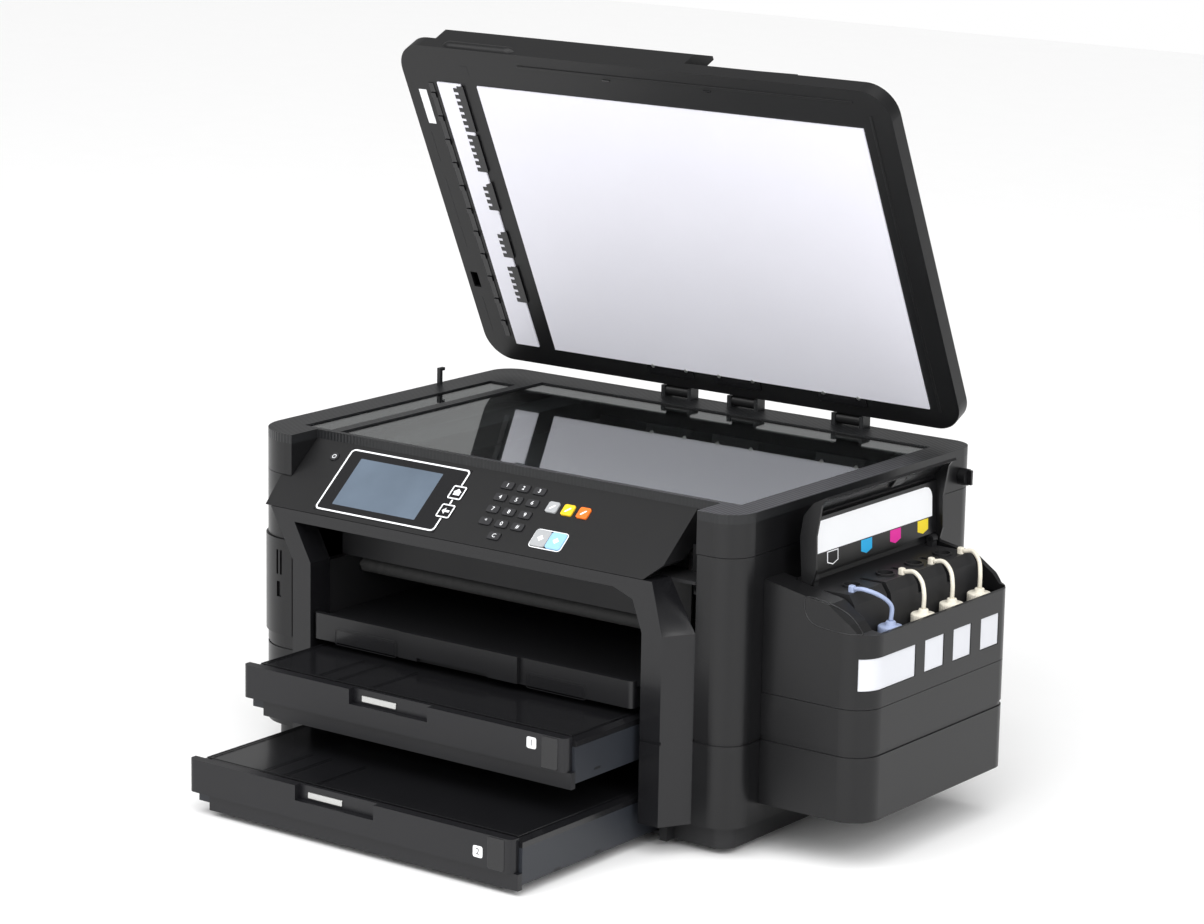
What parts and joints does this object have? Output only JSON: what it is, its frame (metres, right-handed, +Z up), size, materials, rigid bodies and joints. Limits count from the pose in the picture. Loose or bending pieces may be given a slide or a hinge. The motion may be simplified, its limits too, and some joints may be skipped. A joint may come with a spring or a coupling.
{
  "type": "inkjet printer",
  "caption": "Ink-tank multifunction inkjet printer with document feeder, flatbed scanner, sloping control panel, stacked paper cassettes and a side ink unit with refill caps",
  "frame": {"origin": "On the floor, at the middle of the whole object's box in plan, with the cassettes pulled out and both lids open", "axes": "+X to the right as seen from the front (towards the ink unit), +Y to the back, +Z up"},
  "size_m": [0.682, 0.641, 0.6769],
  "materials": {
    "body_black": "fine-textured satin charcoal moulding",
    "portal_black": "satin charcoal moulding",
    "panel_black": "matte black",
    "deck_grey": "ribbed dark grey moulding",
    "screen": "glossy screen window",
    "key_black": "black keys with pale digits",
    "key_grey": "grey key",
    "key_yellow": "yellow key",
    "key_orange": "orange key",
    "key_blue": "light blue key",
    "lid_black": "satin charcoal moulding",
    "mat_white": "white backing sheet",
    "platen_glass": "clear scanner glass",
    "cassette_black": "satin charcoal cassette front",
    "cassette_grey": "blue-grey cassette walls",
    "cassette_smoke": "dark glossy cassette cover",
    "tray_black": "satin charcoal tray",
    "frame_grey": "inner frame moulding",
    "rubber_black": "soft feet",
    "roller_rubber": "grooved roller",
    "rail_steel": "folded steel",
    "board_green": "circuit board",
    "supply_metal": "folded metal box",
    "belt_rubber": "toothed belt",
    "tank_white": "translucent tank windows",
    "cap_blue": "blue-grey cap",
    "cap_cream": "cream cap",
    "strap_cream": "soft cap straps"
  },
  "bodies": {
    "chassis": {"base_frame": "frame_grey", "rubber_feet": "rubber_black", "left_side_cover": "body_black", "right_side_cover": "body_black", "rear_cover": "body_black", "front_portal": "portal_black", "mid_shelf": "frame_grey", "card_reader_panel": "body_black", "inner_front_panel": "frame_grey", "platen": "frame_grey", "carriage_rail": "rail_steel", "carriage_belt": "belt_rubber", "maintenance_unit": "frame_grey", "main_board": "board_green", "power_supply": "supply_metal", "tank_base": "body_black", "tank_cover": "body_black", "ink_tanks": "tank_white", "tank_deck": "frame_grey", "cap_straps": "strap_cream"},
    "scanner_unit": {"scanner_tub": "body_black", "scanner_top": "deck_grey", "scanner_glass": "platen_glass", "control_panel": "panel_black", "lcd_screen": "screen"},
    "document_cover": {"lid_frame": "lid_black", "white_mat": "mat_white", "lid_shell": "lid_black", "lid_hinges": "lid_black"},
    "feeder_cover": {"adf_cover": "lid_black"},
    "feeder_rollers": {"adf_rollers": "roller_rubber"},
    "document_tray": {"adf_tray": "lid_black"},
    "guide_front": {"adf_guide_front": "lid_black"},
    "guide_rear": {"adf_guide_rear": "lid_black"},
    "cassette_1": {"cassette_1_tray": "cassette_grey", "cassette_1_front": "cassette_black", "cassette_1_cover": "cassette_smoke"},
    "cassette_2": {"cassette_2_tray": "cassette_grey", "cassette_2_front": "cassette_black", "cassette_2_cover": "cassette_smoke"},
    "output_tray": {"output_tray": "tray_black"},
    "output_extension": {"output_extension": "tray_black"},
    "ink_cover": {"ink_cover": "body_black"},
    "rear_unit": {"rear_unit": "body_black"},
    "print_carriage": {"print_carriage": "frame_grey"},
    "feed_roller": {"feed_roller": "roller_rubber"},
    "eject_roller": {"eject_roller": "roller_rubber"},
    "scan_carriage": {"scan_carriage": "frame_grey"},
    "transport_lock": {"transport_lock": "body_black"},
    "power_key": {"power_key": "key_black"},
    "number_keys": {"number_keys": "key_black"},
    "interrupt_key": {"interrupt_key": "key_grey"},
    "reset_key": {"reset_key": "key_yellow"},
    "stop_key": {"stop_key": "key_orange"},
    "start_mono_key": {"start_mono_key": "key_grey"},
    "start_colour_key": {"start_colour_key": "key_blue"},
    "ink_cap_1": {"ink_cap_1": "cap_blue"},
    "ink_cap_2": {"ink_cap_2": "cap_cream"},
    "ink_cap_3": {"ink_cap_3": "cap_cream"},
    "ink_cap_4": {"ink_cap_4": "cap_cream"}
  },
  "joints": [
    {"name": "scanner_tilt", "type": "hinge", "parent": "chassis", "child": "scanner_unit", "pos_m": [-0.0515, 0.27954, 0.27525], "axis": [-1, 0, 0], "range_deg": [0, 20]},
    {"name": "document_cover_hinge", "type": "hinge", "parent": "scanner_unit", "child": "document_cover", "pos_m": [-0.0515, 0.26404, 0.3211], "axis": [-1, 0, 0], "range_deg": [-64.48, 0]},
    {"name": "feeder_cover_hinge", "type": "hinge", "parent": "document_cover", "child": "feeder_cover", "pos_m": [-0.295, 0.23248, 0.5332], "axis": [0, -0.4308, 0.9024], "range_deg": [0, 60]},
    {"name": "document_tray_hinge", "type": "hinge", "parent": "document_cover", "child": "document_tray", "pos_m": [-0.154, 0.23158, 0.53277], "axis": [0, -0.4308, 0.9024], "range_deg": [0, 25]},
    {"name": "feeder_roller_spin", "type": "hinge", "parent": "document_cover", "child": "feeder_rollers", "pos_m": [-0.239, 0.2379, 0.53578], "axis": [0, -0.4308, 0.9024], "continuous": true},
    {"name": "guide_front_slide", "type": "slide", "parent": "document_tray", "child": "guide_front", "axis": [0, 0.4308, -0.9024], "range_m": [-0.02, 0.06]},
    {"name": "guide_rear_slide", "type": "slide", "parent": "document_tray", "child": "guide_rear", "axis": [0, 0.4308, -0.9024], "range_m": [-0.06, 0.02]},
    {"name": "cassette_1_slide", "type": "slide", "parent": "chassis", "child": "cassette_1", "axis": [0, -1, 0], "range_m": [-0.075, 0.25]},
    {"name": "cassette_2_slide", "type": "slide", "parent": "chassis", "child": "cassette_2", "axis": [0, -1, 0], "range_m": [-0.149, 0.18]},
    {"name": "output_tray_slide", "type": "slide", "parent": "chassis", "child": "output_tray", "axis": [0, -1, 0], "range_m": [0, 0.2]},
    {"name": "output_extension_slide", "type": "slide", "parent": "output_tray", "child": "output_extension", "axis": [0, -1, 0], "range_m": [0, 0.14]},
    {"name": "ink_cover_hinge", "type": "hinge", "parent": "chassis", "child": "ink_cover", "pos_m": [0.261, 0.05054, 0.25], "axis": [0, -1, 0], "range_deg": [-92, 0]},
    {"name": "ink_cap_1_lift", "type": "slide", "parent": "chassis", "child": "ink_cap_1", "axis": [0, 0, 1], "range_m": [0, 0.03], "deforming": ["cap_straps"]},
    {"name": "ink_cap_2_lift", "type": "slide", "parent": "chassis", "child": "ink_cap_2", "axis": [0, 0, 1], "range_m": [0, 0.03], "deforming": ["cap_straps"]},
    {"name": "ink_cap_3_lift", "type": "slide", "parent": "chassis", "child": "ink_cap_3", "axis": [0, 0, 1], "range_m": [0, 0.03], "deforming": ["cap_straps"]},
    {"name": "ink_cap_4_lift", "type": "slide", "parent": "chassis", "child": "ink_cap_4", "axis": [0, 0, 1], "range_m": [0, 0.03], "deforming": ["cap_straps"]},
    {"name": "rear_unit_slide", "type": "slide", "parent": "chassis", "child": "rear_unit", "axis": [0, 1, 0], "range_m": [0, 0.09]},
    {"name": "print_carriage_slide", "type": "slide", "parent": "chassis", "child": "print_carriage", "axis": [1, 0, 0], "range_m": [-0.3, 0.115]},
    {"name": "feed_roller_spin", "type": "hinge", "parent": "chassis", "child": "feed_roller", "pos_m": [-0.04, -0.00146, 0.188], "axis": [1, 0, 0], "continuous": true},
    {"name": "eject_roller_spin", "type": "hinge", "parent": "chassis", "child": "eject_roller", "pos_m": [-0.04, -0.07546, 0.188], "axis": [1, 0, 0], "continuous": true},
    {"name": "scan_carriage_slide", "type": "slide", "parent": "scanner_unit", "child": "scan_carriage", "axis": [1, 0, 0], "range_m": [-0.085, 0.41]},
    {"name": "transport_lock_turn", "type": "hinge", "parent": "scanner_unit", "child": "transport_lock", "pos_m": [0.232, 0.24554, 0.288], "axis": [1, 0, 0], "range_deg": [0, 90]},
    {"name": "power_key_press", "type": "slide", "parent": "scanner_unit", "child": "power_key", "axis": [0, 0.6428, -0.766], "range_m": [0, 0.0008], "stiffness_N_per_m": 400},
    {"name": "number_keys_press", "type": "slide", "parent": "scanner_unit", "child": "number_keys", "axis": [0, 0.6428, -0.766], "range_m": [0, 0.0008], "stiffness_N_per_m": 400},
    {"name": "interrupt_key_press", "type": "slide", "parent": "scanner_unit", "child": "interrupt_key", "axis": [0, 0.6428, -0.766], "range_m": [0, 0.0008], "stiffness_N_per_m": 400},
    {"name": "reset_key_press", "type": "slide", "parent": "scanner_unit", "child": "reset_key", "axis": [0, 0.6428, -0.766], "range_m": [0, 0.0008], "stiffness_N_per_m": 400},
    {"name": "stop_key_press", "type": "slide", "parent": "scanner_unit", "child": "stop_key", "axis": [0, 0.6428, -0.766], "range_m": [0, 0.0008], "stiffness_N_per_m": 400},
    {"name": "start_mono_key_press", "type": "slide", "parent": "scanner_unit", "child": "start_mono_key", "axis": [0, 0.6428, -0.766], "range_m": [0, 0.0008], "stiffness_N_per_m": 400},
    {"name": "start_colour_key_press", "type": "slide", "parent": "scanner_unit", "child": "start_colour_key", "axis": [0, 0.6428, -0.766], "range_m": [0, 0.0008], "stiffness_N_per_m": 400}
  ],
  "couplings": [
    {"joint": "eject_roller_spin", "follows": "feed_roller_spin", "ratio": 1.1429},
    {"joint": "guide_rear_slide", "follows": "guide_front_slide", "ratio": -1}
  ]
}
